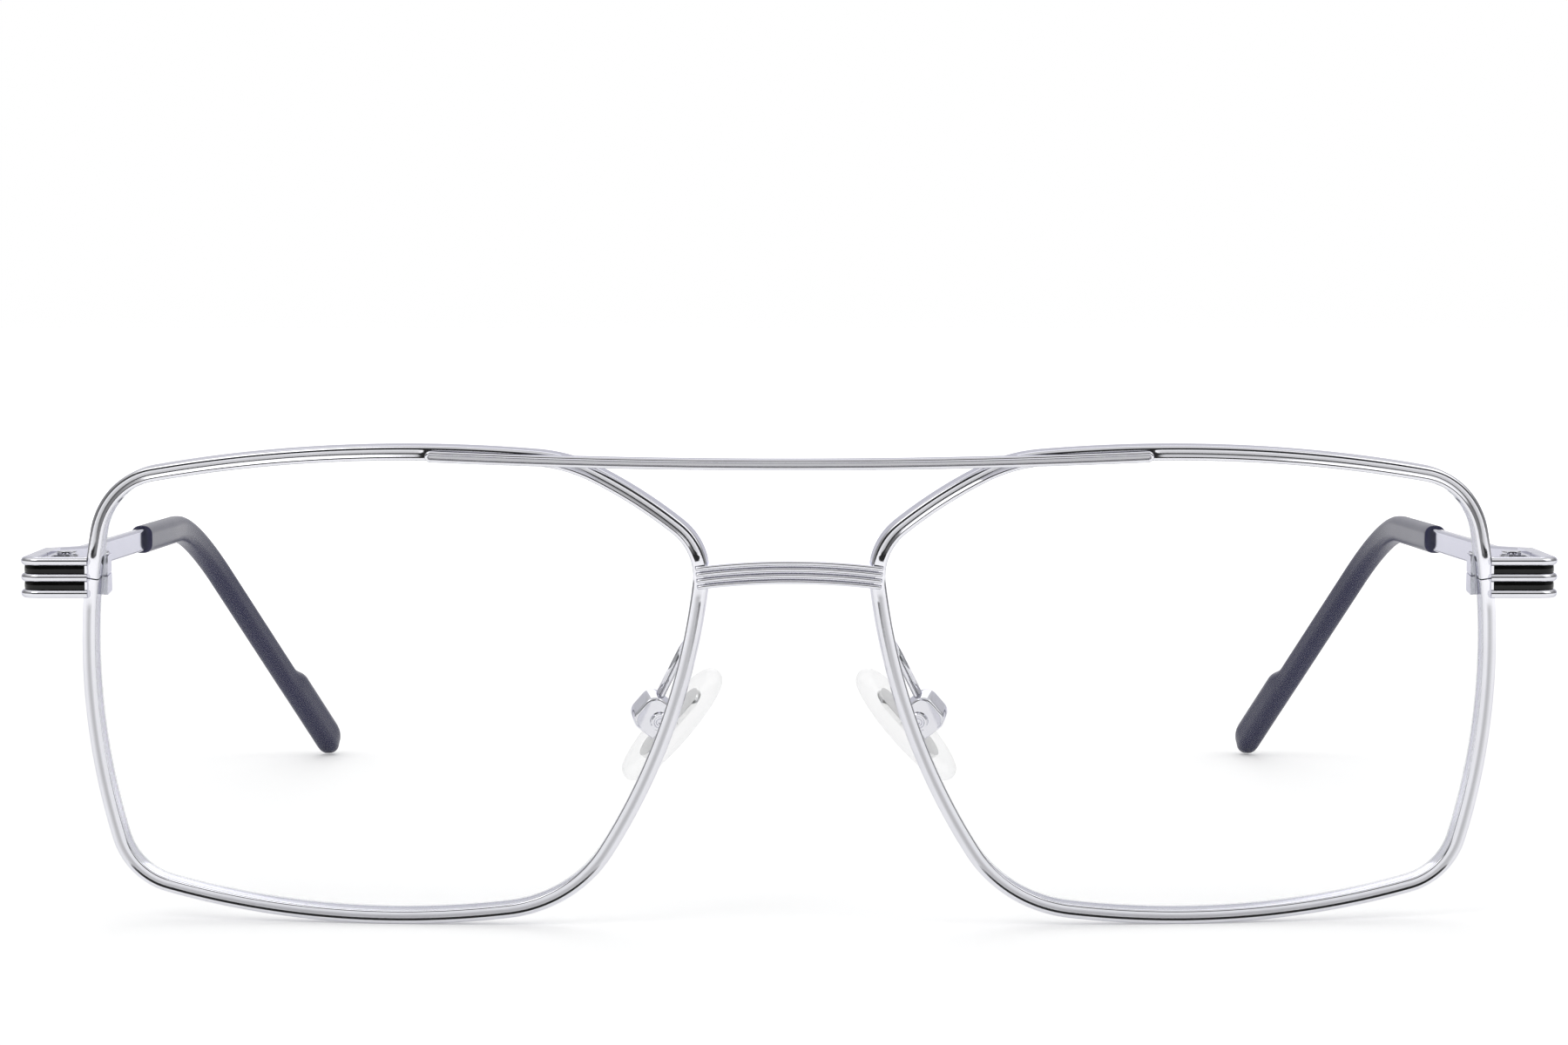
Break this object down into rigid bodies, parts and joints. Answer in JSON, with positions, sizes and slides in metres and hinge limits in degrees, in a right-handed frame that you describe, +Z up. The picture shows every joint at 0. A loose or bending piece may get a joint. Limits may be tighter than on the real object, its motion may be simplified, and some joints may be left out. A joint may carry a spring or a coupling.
{
  "type": "double bridge glasses",
  "caption": "Eyeglass frame with a nose bridge and a brow bar, thin metal rims, ridged end pieces, folding temples with dark tips, and rocking nose pads.",
  "frame": {"origin": "on the surface that the glasses stand on, midway between left and right and between front and back", "axes": "+X to the wearer's left, +Y from the front towards the temple tips, +Z up"},
  "size_m": [0.1482, 0.1396, 0.0465],
  "materials": {
    "polished_metal": "polished silver plating",
    "black_enamel": "glossy black enamel",
    "clear_lens": "clear and polished",
    "clear_pad": "clear soft plastic",
    "pad_core": "plain steel plate",
    "dark_tip": "dark navy, satin"
  },
  "bodies": {
    "front": {"bridge": "polished_metal", "top_bar": "polished_metal", "left_rim": "polished_metal", "left_lens": "clear_lens", "left_endpiece": "polished_metal", "left_endpiece_inlay": "black_enamel", "left_block_upper": "polished_metal", "left_block_lower": "polished_metal", "left_block_screw": "polished_metal", "left_hinge_front": "polished_metal", "left_hinge_screw": "polished_metal", "left_pad_arm": "polished_metal", "left_pad_box": "polished_metal", "left_pad_screw": "polished_metal", "right_rim": "polished_metal", "right_lens": "clear_lens", "right_endpiece": "polished_metal", "right_endpiece_inlay": "black_enamel", "right_block_upper": "polished_metal", "right_block_lower": "polished_metal", "right_block_screw": "polished_metal", "right_hinge_front": "polished_metal", "right_hinge_screw": "polished_metal", "right_pad_arm": "polished_metal", "right_pad_box": "polished_metal", "right_pad_screw": "polished_metal"},
    "left_temple_arm": {"left_temple": "polished_metal", "left_temple_inlay": "black_enamel", "left_hinge_temple": "polished_metal", "left_temple_tip": "dark_tip"},
    "left_pad": {"left_nose_pad": "clear_pad", "left_pad_core": "pad_core"},
    "right_temple_arm": {"right_temple": "polished_metal", "right_temple_inlay": "black_enamel", "right_hinge_temple": "polished_metal", "right_temple_tip": "dark_tip"},
    "right_pad": {"right_nose_pad": "clear_pad", "right_pad_core": "pad_core"}
  },
  "joints": [
    {"name": "left_temple_fold", "type": "hinge", "parent": "front", "child": "left_temple_arm", "pos_m": [0.07053, -0.05646, 0.03334], "axis": [0, 0, 1], "range_deg": [0, 85]},
    {"name": "right_temple_fold", "type": "hinge", "parent": "front", "child": "right_temple_arm", "pos_m": [-0.07053, -0.05646, 0.03334], "axis": [0, 0, -1], "range_deg": [0, 78]},
    {"name": "left_pad_rock", "type": "hinge", "parent": "front", "child": "left_pad", "pos_m": [0.0128, -0.05815, 0.0194], "axis": [-0.1698, -0.9578, -0.2319], "range_deg": [-8, 8]},
    {"name": "right_pad_rock", "type": "hinge", "parent": "front", "child": "right_pad", "pos_m": [-0.0128, -0.05815, 0.0194], "axis": [0.1698, -0.9578, -0.2319], "range_deg": [-8, 8]}
  ]
}
